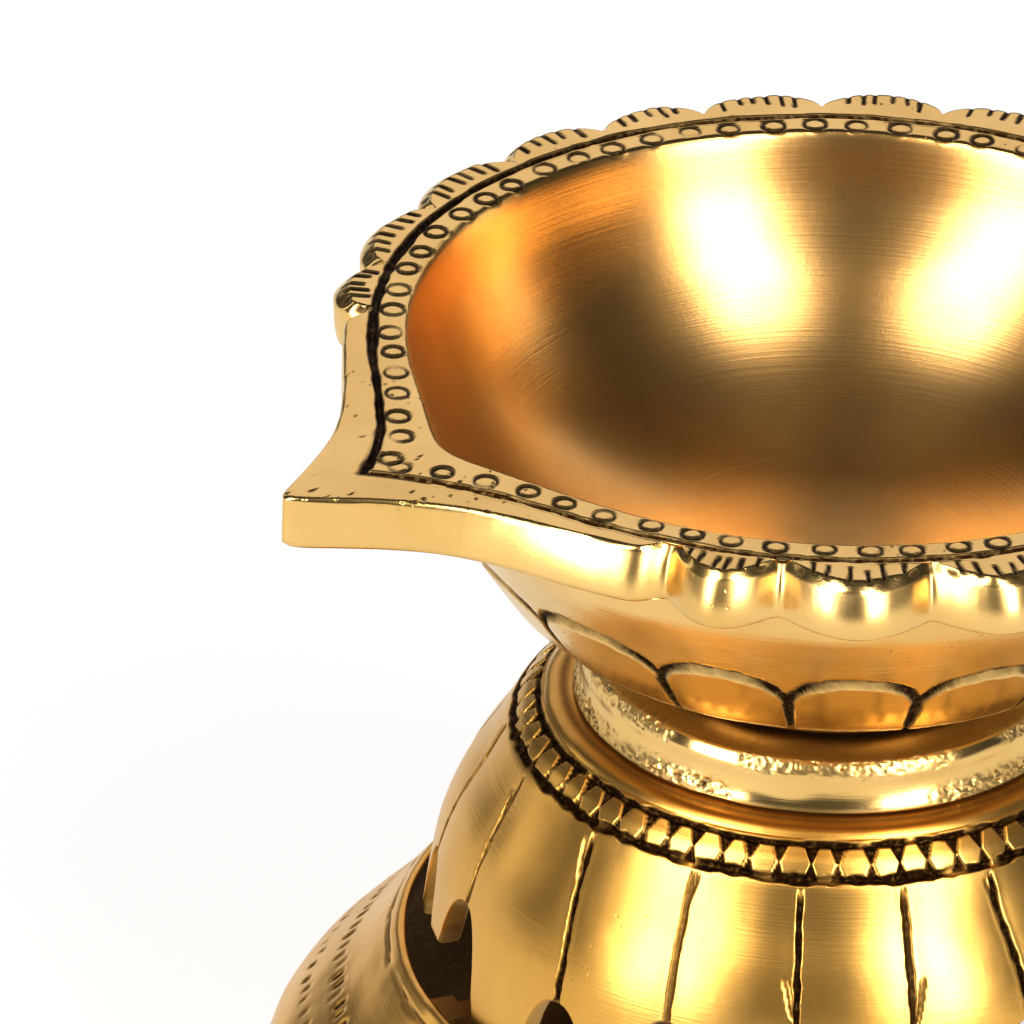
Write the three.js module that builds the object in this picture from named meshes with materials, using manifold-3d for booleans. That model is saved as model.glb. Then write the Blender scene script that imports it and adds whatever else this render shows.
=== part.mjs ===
// A small hand-cast brass standing oil lamp (samai): a spouted, lobed oil bowl on a stud, a neck collar,
// a lotus-petal dome and a hollow bell base, held together by a stud, a spider, a washer and a nut.
// Millimetres, +Z up, origin on the lamp's axis at the plane that the foot rests on.
import * as THREE from 'three';
import { mergeVertices } from 'three/addons/utils/BufferGeometryUtils.js';
import Module from 'manifold-3d';

// Driving dimensions. Profiles are [radius, height] points; the well's heights are below the rim.
const LAMP_HEIGHT = 99;
const GAP = 0.3;

// Oil bowl.
const FLANGE_THICK = 5.2;
const FLANGE_R = 46.9;
const FLANGE_SPOUT_R = 45.6;
const FLANGE_BEVEL = 1.6;
const FLANGE_BEVEL_DROP = 1.2;
const WELL_R = 40;
const WELL_PROFILE = [[38.2, 6], [34, 13], [26.5, 19.4], [15, 22.6], [0, 23.5]];
const NECK_R = 41.3;
const BOWL_BODY_PROFILE = [[29.2, 73.2], [32.2, 76.8], [36, 82.6], [39.2, 88]];
const BOWL_RECESS_Z = 73.6;
const BOWL_FOOT_R = 18.5;
const LOBE_SWELL = 1.5;
// The hand-filed edge isn't quite centred on the well.
const EDGE_SHIFT = 1.2;
const EDGE_SHIFT_AZIMUTH = 30;
const SPOUT_AZIMUTH = -144.5;
const SPOUT_REACH = 15.4;
const SPOUT_SPREAD = 8;
const SPOUT_BLUNT = 1;
const WELL_SPOUT_REACH = 3.4;
const WELL_SPOUT_SPREAD = 9;
// Valleys between the hand-filed lobes, in degrees round the axis, with even lobes across the gap.
const VALLEYS_FRONT = [-109.3, -95.9, -78.4];
const EVEN_LOBES = 10;
const VALLEYS_BACK = [78.9, 93.5, 108.1, 121.2, 135.1, 151, 166.9, 178.4];

// Stud under the bowl, in the bore of the collar and the dome's boss.
const STUD_R = 4;
const STUD_BOTTOM = 55;
const STUD_CHAMFER = 0.8;

// Neck collar.
const COLLAR_TOP = 66.5;
const COLLAR_BOTTOM = 61.5;
const COLLAR_SIDE_PROFILE = [[23.7, 61.5], [23.2, 62.7], [23.7, 64.3], [23.3, 65.6], [22.1, 66.5]];

// Petal dome.
const DOME_TOP = COLLAR_BOTTOM - GAP;
const DOME_SHOULDER_R = 24.4;
const DOME_WALL = 2.4;
const DOME_WALL_AT_SHOULDER = 1.4;
const DOME_BAND_PROFILE = [[26.5, 60.4], [29.4, 57.7]];
const DOME_PETAL_PROFILE = [[31.4, 53.9], [34, 49.6], [35.8, 45.2], [36.8, 39.2], [37.3, 34.2]];
const DOME_ROOF_THICK = 4;
const BOSS_R = 8;
const PETALS = 19;
const PETAL_PHASE = -151.4;
const PETAL_TIP_Z = 34.2;
const NOTCH_Z = 44.4;
const NOTCH_NARROWING = 1.6;
const NOTCH_ROUNDNESS = 0.7;

// Stud, spider, washer and nut that hold the dome on the base.
const TIE_R = 2.5;
const TIE_TOP = 53;
const TIE_BOTTOM = 20.5;
const TIE_CHAMFER = 0.5;
const SPIDER_Z = 28;
const SPIDER_THICK = 3.5;
const SPIDER_HUB_R = 9;
const SPIDER_ARM_WIDTH = 8;
const SPIDER_REACH = 38.4;
const SPIDER_ARMS = 3;
const SPIDER_AZIMUTH = -157;
const SPIDER_TAB = 2.6;
const SPIDER_OVERLAP = 2;
const SPIDER_TAB_TOP = 33.6;
const BOSS_BOTTOM = SPIDER_Z + SPIDER_THICK + GAP;
const WASHER_R = 6;
const WASHER_THICK = 1;
const NUT_ACROSS_FLATS = 8;
const NUT_THICK = 4;
const NUT_SIDES = 6;

// Bell base.
const BASE_FOOT_PROFILE = [[50.8, 0], [54.6, 0], [54.6, 2.4], [53.9, 3.4]];
const BASE_WALL_PROFILE = [[53.5, 8], [52.9, 14.4], [51.9, 19.2], [50, 22.6]];
const BASE_SHOULDER_PROFILE = [[47.2, 25.4], [43.9, 28.9], [41.4, 32.4]];
const BASE_RIM_PROFILE = [[39.9, 34.9], [38.7, 34.9]];
const BASE_INNER_PROFILE = [[38.7, 32.4], [41.2, 27.6], [45.4, 22.6], [48.6, 17.6], [50.2, 10]];

// Steps round the axis.
const BOWL_STEPS = 144;
const STUD_STEPS = 24;
const COLLAR_STEPS = 48;
const STEPS_PER_PETAL = 4;
const TIE_STEPS = 20;
const RING_STEPS = 32;
const BASE_STEPS = 60;

// Vertices closer than this are one vertex.
const WELD_DISTANCE = 1e-4;

const wasm = await Module();
wasm.setup();

const radians = THREE.MathUtils.degToRad;
const degrees = THREE.MathUtils.radToDeg;

function v2(r, z) {
  return new THREE.Vector2(r, z);
}

function points(profile) {
  return profile.map(([r, z]) => v2(r, z));
}

// Keeps positions only, merges shared vertices and drops the flat triangles that a lathe makes on its axis.
function weld(geometry) {
  geometry.deleteAttribute('normal');
  geometry.deleteAttribute('uv');
  const merged = mergeVertices(geometry, WELD_DISTANCE);
  const index = merged.index.array;
  const kept = [];
  for (let i = 0; i < index.length; i += 3) {
    const [a, b, c] = [index[i], index[i + 1], index[i + 2]];
    if (a !== b && b !== c && a !== c) {
      kept.push(a, b, c);
    }
  }
  merged.setIndex(kept);
  return merged;
}

function signedVolume(geometry) {
  const p = geometry.attributes.position;
  const index = geometry.index.array;
  const [a, b, c] = [new THREE.Vector3(), new THREE.Vector3(), new THREE.Vector3()];
  let sum = 0;
  for (let i = 0; i < index.length; i += 3) {
    a.fromBufferAttribute(p, index[i]);
    b.fromBufferAttribute(p, index[i + 1]);
    c.fromBufferAttribute(p, index[i + 2]);
    sum += a.dot(b.cross(c)) / 6;
  }
  return sum;
}

function facingOut(geometry) {
  if (signedVolume(geometry) < 0) {
    const index = geometry.index.array;
    for (let i = 0; i < index.length; i += 3) {
      [index[i + 1], index[i + 2]] = [index[i + 2], index[i + 1]];
    }
  }
  return geometry;
}

// A profile of (radius, height) points turned round Z. warp(radius, height, azimuth) may move each vertex
// to a new [radius, height], which is how lobes, the spout and petals are shaped.
function turned(profile, steps, warp = null) {
  const geometry = new THREE.LatheGeometry(profile, steps);
  geometry.rotateX(Math.PI / 2);
  const p = geometry.attributes.position;
  for (let i = 0; warp && i < p.count; i += 1) {
    const azimuth = Math.atan2(p.getY(i), p.getX(i));
    const [r, z] = warp(Math.hypot(p.getX(i), p.getY(i)), p.getZ(i), degrees(azimuth));
    p.setXYZ(i, r * Math.cos(azimuth), r * Math.sin(azimuth), z);
  }
  return facingOut(weld(geometry));
}

function closed(profile) {
  return [...profile, profile[0].clone()];
}

function toManifold(geometry) {
  return new wasm.Manifold(new wasm.Mesh({
    numProp: 3,
    vertProperties: new Float32Array(geometry.attributes.position.array),
    triVerts: new Uint32Array(geometry.index.array),
  }));
}

function fromManifold(solid) {
  const mesh = solid.getMesh();
  const geometry = new THREE.BufferGeometry();
  geometry.setAttribute('position', new THREE.BufferAttribute(new Float32Array(mesh.vertProperties), 3));
  geometry.setIndex(new THREE.BufferAttribute(new Uint32Array(mesh.triVerts), 1));
  return geometry;
}

function joined(first, ...others) {
  return fromManifold(others.reduce((sum, g) => sum.add(toManifold(g)), toManifold(first)));
}

function cut(body, ...tools) {
  return fromManifold(tools.reduce((left, g) => left.subtract(toManifold(g)), toManifold(body)));
}

// Signed difference of two azimuths, from -180 to 180 degrees.
function turnFrom(azimuth, reference) {
  return THREE.MathUtils.euclideanModulo(azimuth - reference + 180, 360) - 180;
}

function lobeValleys() {
  const from = VALLEYS_FRONT.at(-1);
  const to = VALLEYS_BACK[0];
  const even = [];
  for (let i = 1; i < EVEN_LOBES; i += 1) even.push(from + (to - from) * i / EVEN_LOBES);
  return [...VALLEYS_FRONT, ...even, ...VALLEYS_BACK];
}

const VALLEYS = lobeValleys();

// The flange's edge radius at an azimuth: a smooth cusp for the spout, lobes everywhere else.
function flangeRadius(azimuth) {
  const softened = Math.hypot(turnFrom(azimuth, SPOUT_AZIMUTH), SPOUT_BLUNT) - SPOUT_BLUNT;
  const spout = FLANGE_SPOUT_R + SPOUT_REACH * Math.exp(-softened / SPOUT_SPREAD);
  const around = azimuth < VALLEYS[0] ? azimuth + 360 : azimuth;
  const next = VALLEYS.findIndex((v) => v > around);
  if (next <= 0) return spout;
  const share = (around - VALLEYS[next - 1]) / (VALLEYS[next] - VALLEYS[next - 1]);
  const shift = EDGE_SHIFT * Math.cos(radians(azimuth - EDGE_SHIFT_AZIMUTH));
  return FLANGE_R + shift + LOBE_SWELL * (2 * Math.sqrt(Math.sin(Math.PI * share)) - 1);
}

function oilBowl() {
  const top = LAMP_HEIGHT;
  const under = top - FLANGE_THICK;
  const bottom = COLLAR_TOP + GAP;
  const profile = [
    v2(0, bottom),
    v2(BOWL_FOOT_R, bottom),
    v2(BOWL_FOOT_R, BOWL_RECESS_Z),
    ...points(BOWL_BODY_PROFILE),
    v2(NECK_R, under),
    v2(FLANGE_R, under),
    v2(FLANGE_R, top - FLANGE_BEVEL_DROP),
    v2(FLANGE_R - FLANGE_BEVEL, top),
    v2(WELL_R, top),
    ...WELL_PROFILE.map(([r, depth]) => v2(r, top - depth)),
  ];
  const warp = (r, z, azimuth) => {
    if (r > NECK_R && z > under - GAP) {
      const share = (r - NECK_R) / (FLANGE_R - NECK_R);
      return [NECK_R + (flangeRadius(azimuth) - NECK_R) * share, z];
    }
    if (Math.abs(r - WELL_R) < GAP && z > top - GAP) {
      const turn = Math.abs(turnFrom(azimuth, SPOUT_AZIMUTH));
      return [r + WELL_SPOUT_REACH * Math.exp(-turn / WELL_SPOUT_SPREAD), z];
    }
    return [r, z];
  };
  return turned(profile, BOWL_STEPS, warp);
}

// A plain screw standing on the axis, its lower end chamfered.
function stud(radius, chamfer, bottom, top, steps) {
  return turned([
    v2(0, bottom),
    v2(radius - chamfer, bottom),
    v2(radius, bottom + chamfer),
    v2(radius, top),
    v2(0, top),
  ], steps);
}

function neckCollar() {
  const bore = STUD_R + GAP;
  const side = points(COLLAR_SIDE_PROFILE);
  return turned(closed([v2(bore, COLLAR_BOTTOM), ...side, v2(bore, COLLAR_TOP)]), COLLAR_STEPS);
}

// How far up a petal's edge is at an azimuth: 0 at a petal's tip, 1 in the notch between two petals.
function notchShare(azimuth) {
  const step = 360 / PETALS;
  const fromNotch = Math.abs(turnFrom(azimuth, PETAL_PHASE)) % step;
  const near = Math.min(fromNotch, step - fromNotch) / (step / 2);
  return Math.max(0, 1 - near * NOTCH_NARROWING) ** NOTCH_ROUNDNESS;
}

function petalDome() {
  const band = points(DOME_BAND_PROFILE);
  const petals = points(DOME_PETAL_PROFILE);
  const insidePetals = petals.map((p) => v2(p.x - DOME_WALL, p.y)).reverse();
  const insideBand = band.map((p) => v2(p.x - DOME_WALL_AT_SHOULDER, p.y - DOME_WALL)).reverse();
  const profile = closed([
    v2(STUD_R + GAP, DOME_TOP),
    v2(DOME_SHOULDER_R, DOME_TOP),
    ...band,
    ...petals,
    ...insidePetals,
    ...insideBand,
    v2(BOSS_R, DOME_TOP - DOME_ROOF_THICK),
    v2(BOSS_R, BOSS_BOTTOM),
    v2(TIE_R + GAP, BOSS_BOTTOM),
    v2(TIE_R + GAP, TIE_TOP + GAP),
    v2(STUD_R + GAP, TIE_TOP + GAP),
  ]);
  const warp = (r, z, azimuth) => {
    const reach = NOTCH_Z - PETAL_TIP_Z;
    if (r < BOSS_R + GAP || z > NOTCH_Z) return [r, z];
    const depth = 1 - (z - PETAL_TIP_Z) / reach;
    return [r, z + reach * notchShare(azimuth) * depth];
  };
  return turned(profile, PETALS * STEPS_PER_PETAL, warp);
}

function ring(inner, outer, bottom, top) {
  return turned(closed([
    v2(inner, bottom),
    v2(outer, bottom),
    v2(outer, top),
    v2(inner, top),
  ]), RING_STEPS);
}

function box(x0, x1, width, z0, z1, azimuth) {
  const geometry = new THREE.BoxGeometry(x1 - x0, width, z1 - z0);
  geometry.translate((x0 + x1) / 2, 0, (z0 + z1) / 2);
  geometry.rotateZ(radians(azimuth));
  return weld(geometry);
}

// A hub with three arms whose ends turn up inside the base's rim.
function baseSpider() {
  const top = SPIDER_Z + SPIDER_THICK;
  const tabFoot = SPIDER_REACH - SPIDER_TAB;
  let body = ring(TIE_R + GAP, SPIDER_HUB_R, SPIDER_Z, top);
  for (let i = 0; i < SPIDER_ARMS; i += 1) {
    const azimuth = SPIDER_AZIMUTH + i * 360 / SPIDER_ARMS;
    const arm = box(SPIDER_HUB_R - SPIDER_OVERLAP, SPIDER_REACH, SPIDER_ARM_WIDTH, SPIDER_Z, top, azimuth);
    const tabBottom = top - SPIDER_OVERLAP;
    const tab = box(tabFoot, SPIDER_REACH, SPIDER_ARM_WIDTH / 2, tabBottom, SPIDER_TAB_TOP, azimuth);
    body = joined(body, arm, tab);
  }
  return body;
}

// A hexagonal nut with its bore cut through it.
function tieNut(top) {
  const middle = top - NUT_THICK / 2;
  const corner = NUT_ACROSS_FLATS / Math.sqrt(3);
  const hole = TIE_R + GAP;
  const shape = new THREE.CylinderGeometry(corner, corner, NUT_THICK, NUT_SIDES);
  const bore = new THREE.CylinderGeometry(hole, hole, 2 * NUT_THICK, TIE_STEPS);
  for (const geometry of [shape, bore]) geometry.rotateX(Math.PI / 2).translate(0, 0, middle);
  return cut(weld(shape), weld(bore));
}

function baseBell() {
  return turned(closed(points([
    ...BASE_FOOT_PROFILE,
    ...BASE_WALL_PROFILE,
    ...BASE_SHOULDER_PROFILE,
    ...BASE_RIM_PROFILE,
    ...BASE_INNER_PROFILE,
  ])), BASE_STEPS);
}

const lamp = new THREE.Group();

function add(name, geometry, finish) {
  const material = new THREE.MeshStandardMaterial({ ...finish, metalness: 1 });
  const mesh = new THREE.Mesh(geometry, material);
  mesh.name = name;
  lamp.add(mesh);
  return mesh;
}

const POLISHED = { color: 0xd8a84e, roughness: 0.28 };
const SATIN = { color: 0xc89a4c, roughness: 0.36 };
const RAW_CAST = { color: 0xb08440, roughness: 0.5 };

const washerTop = SPIDER_Z - GAP;
const nutTop = washerTop - WASHER_THICK - GAP;

add('oil_bowl', oilBowl(), POLISHED);
add('bowl_stud', stud(STUD_R, STUD_CHAMFER, STUD_BOTTOM, COLLAR_TOP, STUD_STEPS), RAW_CAST);
add('neck_collar', neckCollar(), POLISHED);
add('petal_dome', petalDome(), POLISHED);
add('tie_stud', stud(TIE_R, TIE_CHAMFER, TIE_BOTTOM, TIE_TOP, TIE_STEPS), RAW_CAST);
add('base_bell', baseBell(), SATIN);
add('base_spider', baseSpider(), RAW_CAST);
add('spider_washer', ring(TIE_R + GAP, WASHER_R, washerTop - WASHER_THICK, washerTop), SATIN);
add('tie_nut', tieNut(nutTop), SATIN);

export default lamp;
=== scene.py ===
import math

import bpy
import numpy as np
from mathutils import Matrix, Vector

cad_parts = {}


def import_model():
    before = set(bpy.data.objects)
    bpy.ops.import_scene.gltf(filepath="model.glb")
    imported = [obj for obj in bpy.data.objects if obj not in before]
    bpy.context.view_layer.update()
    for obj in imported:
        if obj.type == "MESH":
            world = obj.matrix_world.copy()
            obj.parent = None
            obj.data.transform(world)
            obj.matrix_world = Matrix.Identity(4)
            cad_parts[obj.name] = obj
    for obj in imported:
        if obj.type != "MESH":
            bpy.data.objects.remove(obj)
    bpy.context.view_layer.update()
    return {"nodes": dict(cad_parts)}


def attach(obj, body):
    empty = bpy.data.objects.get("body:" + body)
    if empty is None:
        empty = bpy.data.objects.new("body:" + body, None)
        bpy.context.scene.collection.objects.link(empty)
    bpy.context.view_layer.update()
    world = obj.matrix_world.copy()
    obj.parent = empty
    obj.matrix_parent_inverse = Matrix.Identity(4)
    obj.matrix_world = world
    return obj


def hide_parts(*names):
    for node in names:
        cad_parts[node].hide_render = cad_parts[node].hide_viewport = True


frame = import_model()

MM = 0.001
SEED = 20

# Oil bowl.
RIM_Z = 99.0
FLANGE_BOTTOM_Z = 93.8
GROOVE_R = 43.0
GROOVE_SPOUT = 0.215
GROOVE_SPREAD = 9.0
WELL_R = 40.0
FLANGE_R = 46.9
FLANGE_SPOUT_R = 45.6
SPOUT_AZIMUTH = -144.5
SPOUT_REACH = 15.4
SPOUT_SPREAD = 8.0
LOBE_SWELL = 1.5
EDGE_SHIFT = 1.2
EDGE_SHIFT_AZIMUTH = 30.0
FRONT_VALLEYS = [-109.3, -95.9, -78.4]
EVEN_LOBES = 10
SOFT_LOBES = 4
FLUTE_DEPTH = 0.5
FLUTE_WIDTH = 1.5
BACK_VALLEYS = [78.9, 93.5, 108.1, 121.2, 135.1, 151.0, 166.9, 178.4]
ARCH_EDGES = [-140.6, -116.9, -96.1, -75.7]
ARCHES = 17
ARCH_FOOT_Z = 73.2
ARCH_SHOULDER_Z = 78.1
ARCH_RISE = 3.95
ARCH_POWER = 2.2
ARCH_DEPTH = 0.36
PANEL_SWELL = 0.2
GROOVE_WIDTH = 0.42
GROOVE_DEPTH = 0.55
PUNCH_PITCH = 4.05
PUNCH_R = 1.0
PUNCH_LINE = 1.75
PUNCH_WIDTH = 0.22
PUNCH_DEPTH = 0.2
TICK_WIDTH = 0.21
TICK_DEPTH = 0.16
NICK_DEPTH = 0.4
CRESCENT_DEPTH = 0.12
PIT_DEPTH = 0.12
# How far the flange's side bulges out towards its lower edge along the front.
SIDE_BULGE = 1.2
WELL_PROFILE = [(0, 75.5), (15, 76.5), (26.2, 80.2), (33.4, 86.0), (37.5, 92.2), (39.65, 98.3)]
BODY_PROFILE = [
    (41.5, 93.5),
    (41.0, 92.6),
    (39.3, 88),
    (36.1, 82.6),
    (32.4, 76.9),
    (30.0, 73.95),
    (29.3, 73.3),
]
RECESS_PROFILE = [(28.0, 73.3), (24, 73.45), (20, 73.5), (18.8, 73.2), (18.5, 72.6)]
BOWL_FOOT_R = 18.5
BOWL_FOOT_Z = 66.8

# Neck collar.
COLLAR_TOP = 66.45
COLLAR_BOTTOM = 61.5
COLLAR_PROFILE = [
    (21.6, 66.45),
    (22.4, 66.2),
    (23.0, 65.2),
    (23.1, 63.9),
    (23.3, 62.8),
    (23.6, 61.9),
    (23.7, 61.5),
]

# Dome.
LINE_FEET = [-156.0, -131.0, -112.1, -92.6, -75.0, -56.5]
LINE_TOPS = [-158.5, -134.4, -112.9, -93.2, -75.0, -58.4]
PETALS = 19
PETAL_TIP_Z = 34.4
SHORT_PETAL_TIP_Z = 38.6
FIRST_NOTCHES_Z = (45.0, 42.4)
COLUMNS_PER_PETAL = 44
# Between these heights the lines lean from their feet to their tops.
LEAN_LOW_Z = 45.0
LEAN_HIGH_Z = 57.0
# Below this height the rows spread out to follow the notched edge.
NOTCH_ROWS_Z = 51.0
DOME_TOP = 61.2
DOME_WALL = 2.4
BAND_MARKS = 65
BAND_MARK_DEPTH = 0.35
LINE_WIDTH = 0.3
LINE_DEPTH = 0.38
STRAY_DEPTH = 0.22
PETAL_SWELL = 0.16

# Base.
CHASED_LINE_Z = 33.5
CHASED_LINE_WIDTH = 0.2
CHASED_LINE_DEPTH = 0.2
MARK_WIDTH = 0.4
MARK_DEPTH = 0.32
# Rows of marks: height, half length, number round the base, force.
MARK_ROWS = ((27.7, 0.75, 150, 1.0), (24.4, 0.6, 132, 0.75))
FOOT_RING = [(53.85, 3.3), (54.25, 2.9), (54.5, 2.2), (54.5, 0.9), (54.3, 0.25), (53.8, 0.0)]
BASE_INNER = [
    (50.85, 0.3),
    (50.5, 6),
    (50.0, 11),
    (48.6, 17.6),
    (45.4, 22.6),
    (41.2, 27.6),
    (38.9, 32.0),
    (38.7, 34.4),
]


def wrap(degrees):
    """Degrees brought into -180 to 180."""
    return (np.asarray(degrees) + 180.0) % 360.0 - 180.0


def smooth(low, high, x):
    """0 up to low, 1 from high on, and a smooth step between. low may be the greater."""
    t = np.clip((np.asarray(x, float) - low) / (high - low), 0, 1)
    return t * t * (3 - 2 * t)


def bump(distance, width):
    """1 at distance 0, falling to nothing over a few widths."""
    return np.exp(-((distance / width) ** 2))


NOISE_ROWS = 97
NOISE_START = 1000.0


def noise(azimuth, across, cells, seed):
    """Smooth noise from -1 to 1 with so many cells round the axis. across is in cells."""
    table = np.random.default_rng(SEED + seed).uniform(-1, 1, (cells, NOISE_ROWS))
    x = np.mod(np.asarray(azimuth, float) / 360.0, 1.0) * cells
    y = np.asarray(across, float) + NOISE_START
    i = np.floor(x).astype(int)
    j = np.floor(y).astype(int)
    fx = x - i
    fy = y - j
    fx = fx * fx * (3 - 2 * fx)
    fy = fy * fy * (3 - 2 * fy)
    i0 = i % cells
    i1 = (i + 1) % cells
    j0 = j % NOISE_ROWS
    j1 = (j + 1) % NOISE_ROWS
    low = table[i0, j0] * (1 - fx) + table[i1, j0] * fx
    high = table[i0, j1] * (1 - fx) + table[i1, j1] * fx
    return low * (1 - fy) + high * fy


def wander(azimuth, cells, seed):
    """Noise that changes only round the axis."""
    return noise(azimuth, np.zeros_like(np.asarray(azimuth, float)), cells, seed)


def spline(points, step):
    """Points (radius, height) along a smooth curve through the given ones, about step apart."""
    p = np.array(points, float)
    ends = [2 * p[0] - p[1], *p, 2 * p[-1] - p[-2]]
    out = []
    for k in range(len(p) - 1):
        a, b, c, d = ends[k : k + 4]
        count = max(1, int(math.ceil(np.hypot(*(c - b)) / step)))
        for n in range(count):
            t = n / count
            square = 2 * a - 5 * b + 4 * c - d
            cube = 3 * b - a - 3 * c + d
            out.append(0.5 * (2 * b + (c - a) * t + square * t * t + cube * t**3))
    out.append(p[-1])
    return np.array(out)


SATIN = 0.3


class Skin:
    """Rows of points round the axis, from one end of a profile to the other, joined into one skin."""

    def __init__(self):
        self.rows = []

    def row(self, azimuth, radius, height, zone, material=0):
        azimuth = np.asarray(azimuth, float)
        radius = np.broadcast_to(np.asarray(radius, float), azimuth.shape)
        height = np.broadcast_to(np.asarray(height, float), azimuth.shape)
        self.rows.append((azimuth, radius, height, zone, material))

    def pole(self, height, zone, material=0):
        self.rows.append((np.zeros(1), np.zeros(1), np.array([height]), zone, material))

    def faces(self, loop):
        starts = np.cumsum([0] + [len(r[0]) for r in self.rows])
        faces = []
        materials = []
        pairs = [(k, k + 1) for k in range(len(self.rows) - 1)]
        if loop:
            pairs.append((len(self.rows) - 1, 0))
        for k, m in pairs:
            n = len(self.rows[k][0])
            o = len(self.rows[m][0])
            a = starts[k] + np.arange(n)
            b = starts[m] + np.arange(o)
            if n == o:
                quads = np.stack([a, np.roll(a, -1), np.roll(b, -1), b], 1).tolist()
            elif o == 1:
                quads = [[x, y, b[0]] for x, y in zip(a, np.roll(a, -1))]
            elif n == 1:
                quads = [[a[0], y, x] for x, y in zip(b, np.roll(b, -1))]
            elif n > o:
                ratio = n // o
                quads = []
                for i in range(o):
                    fine = [a[(i * ratio + t) % n] for t in range(ratio + 1)]
                    quads.append([*fine, b[(i + 1) % o], b[i]])
            else:
                ratio = o // n
                quads = []
                for i in range(n):
                    fine = [b[(i * ratio + t) % o] for t in range(ratio, -1, -1)]
                    quads.append([a[i], a[(i + 1) % n], *fine])
            faces += quads
            materials += [self.rows[k][4]] * len(quads)
        return faces, materials

    def build(self, name, materials, carve=None, loop=False):
        """A mesh object of the rows. carve(azimuth, radius, height, zone) gives how deep each point is cut
        below the skin in mm, how much patina and painted shade darken it, and how rough it is, from 0 to 1,
        where up to SATIN is only duller and more is casting grain."""
        azimuth = np.concatenate([r[0] for r in self.rows])
        radius = np.concatenate([r[1] for r in self.rows])
        height = np.concatenate([r[2] for r in self.rows])
        zone = np.concatenate([np.full(len(r[0]), r[3]) for r in self.rows])
        t = np.radians(azimuth)
        points = np.stack([radius * np.cos(t), radius * np.sin(t), height], 1) * MM
        faces, face_materials = self.faces(loop)
        mesh = bpy.data.meshes.new(name)
        mesh.from_pydata(points.tolist(), [], faces)
        mesh.update()
        mesh.polygons.foreach_set("material_index", face_materials)
        if signed_volume(mesh) < 0:
            mesh.flip_normals()
        if carve is not None:
            normals = np.zeros(len(points) * 3, np.float32)
            mesh.vertex_normals.foreach_get("vector", normals)
            depth, grime_and_shade, rough = carve(azimuth, radius, height, zone)
            moved = points - normals.reshape(-1, 3) * (depth * MM)[:, None]
            moved[:, 2] = np.clip(moved[:, 2], 0, RIM_Z * MM)
            mesh.vertices.foreach_set("co", moved.astype(np.float32).ravel())
            for label, values in (("grime_and_shade", grime_and_shade), ("casting", rough)):
                layer = mesh.attributes.new(label, "FLOAT", "POINT")
                layer.data.foreach_set("value", np.clip(values, 0, 1).astype(np.float32))
        mesh.update()
        mesh.shade_smooth()
        for m in materials:
            mesh.materials.append(m)
        obj = bpy.data.objects.new(name, mesh)
        bpy.context.scene.collection.objects.link(obj)
        return obj


def signed_volume(mesh):
    """The volume inside a closed mesh, negative where its faces point inwards."""
    count = len(mesh.vertices)
    co = np.zeros(count * 3, np.float32)
    mesh.vertices.foreach_get("co", co)
    co = co.reshape(-1, 3).astype(float)
    mesh.calc_loop_triangles()
    tri = np.zeros(len(mesh.loop_triangles) * 3, np.int32)
    mesh.loop_triangles.foreach_get("vertices", tri)
    a, b, c = (co[tri.reshape(-1, 3)[:, k]] for k in range(3))
    return float((a * np.cross(b, c)).sum() / 6)


# ---- Outlines of the bowl ------------------------------------------------------------------------


def lobe_valleys():
    gap = BACK_VALLEYS[0] - FRONT_VALLEYS[-1]
    even = [FRONT_VALLEYS[-1] + gap * i / EVEN_LOBES for i in range(1, EVEN_LOBES)]
    return np.array(FRONT_VALLEYS + even + BACK_VALLEYS)


VALLEYS = lobe_valleys()


def spout_share(azimuth, spread, blunt=1.0):
    """1 at the spout's middle, dying away to both sides."""
    turn = np.hypot(wrap(azimuth - SPOUT_AZIMUTH), blunt) - blunt
    return np.exp(-turn / spread)


def lobe_place(azimuth):
    """Which lobe an azimuth is on (-1 on the spout) and how far across it, 0 to 1."""
    around = np.where(azimuth < VALLEYS[0], azimuth + 360.0, azimuth)
    lobe = np.searchsorted(VALLEYS, around, side="right") - 1
    inside = (lobe >= 0) & (lobe < len(VALLEYS) - 1)
    k = np.clip(lobe, 0, len(VALLEYS) - 2)
    share = (around - VALLEYS[k]) / (VALLEYS[k + 1] - VALLEYS[k])
    return np.where(inside, k, -1), np.where(inside, share, 0.5)


def flange_radius(azimuth):
    """The flange's edge: spout, lobes and the valleys between them."""
    azimuth = np.asarray(wrap(azimuth), float)
    lobe, share = lobe_place(azimuth)
    spout = FLANGE_SPOUT_R + SPOUT_REACH * spout_share(azimuth, SPOUT_SPREAD)
    shift = EDGE_SHIFT * np.cos(np.radians(azimuth - EDGE_SHIFT_AZIMUTH))
    # The front lobes are parted by broad flutes, and the others by sharp nicks.
    power = np.where(lobe <= SOFT_LOBES, 1.4, 0.5)
    swell = LOBE_SWELL * (2 * np.clip(np.sin(np.pi * share), 1e-6, 1) ** power - 1)
    from_valley = np.min(np.abs(wrap(azimuth[..., None] - VALLEYS)), axis=-1) * np.radians(FLANGE_R)
    scoop = FLUTE_DEPTH * bump(from_valley, FLUTE_WIDTH) * (lobe <= SOFT_LOBES)
    lobed = FLANGE_R + shift + swell - scoop
    # The spout's plain sides run into the flutes at each end of the row of lobes.
    ends = np.minimum(np.abs(wrap(azimuth - VALLEYS[0])), np.abs(wrap(azimuth - VALLEYS[-1])))
    share = bump(ends * np.radians(FLANGE_R), 1.7)
    valley = FLANGE_R + shift - LOBE_SWELL - FLUTE_DEPTH
    return np.where(lobe >= 0, lobed, spout * (1 - share) + valley * share)


def groove_radius(azimuth):
    drift = 0.12 * wander(azimuth, 60, 1) + 0.06 * wander(azimuth, 190, 2)
    spout = GROOVE_SPOUT * np.exp(-np.abs(wrap(azimuth - SPOUT_AZIMUTH)) / GROOVE_SPREAD)
    return GROOVE_R * (1.0 + spout) + drift


def well_radius(azimuth):
    return WELL_R + 3.6 * spout_share(azimuth, 8.0, 5.0)


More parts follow.
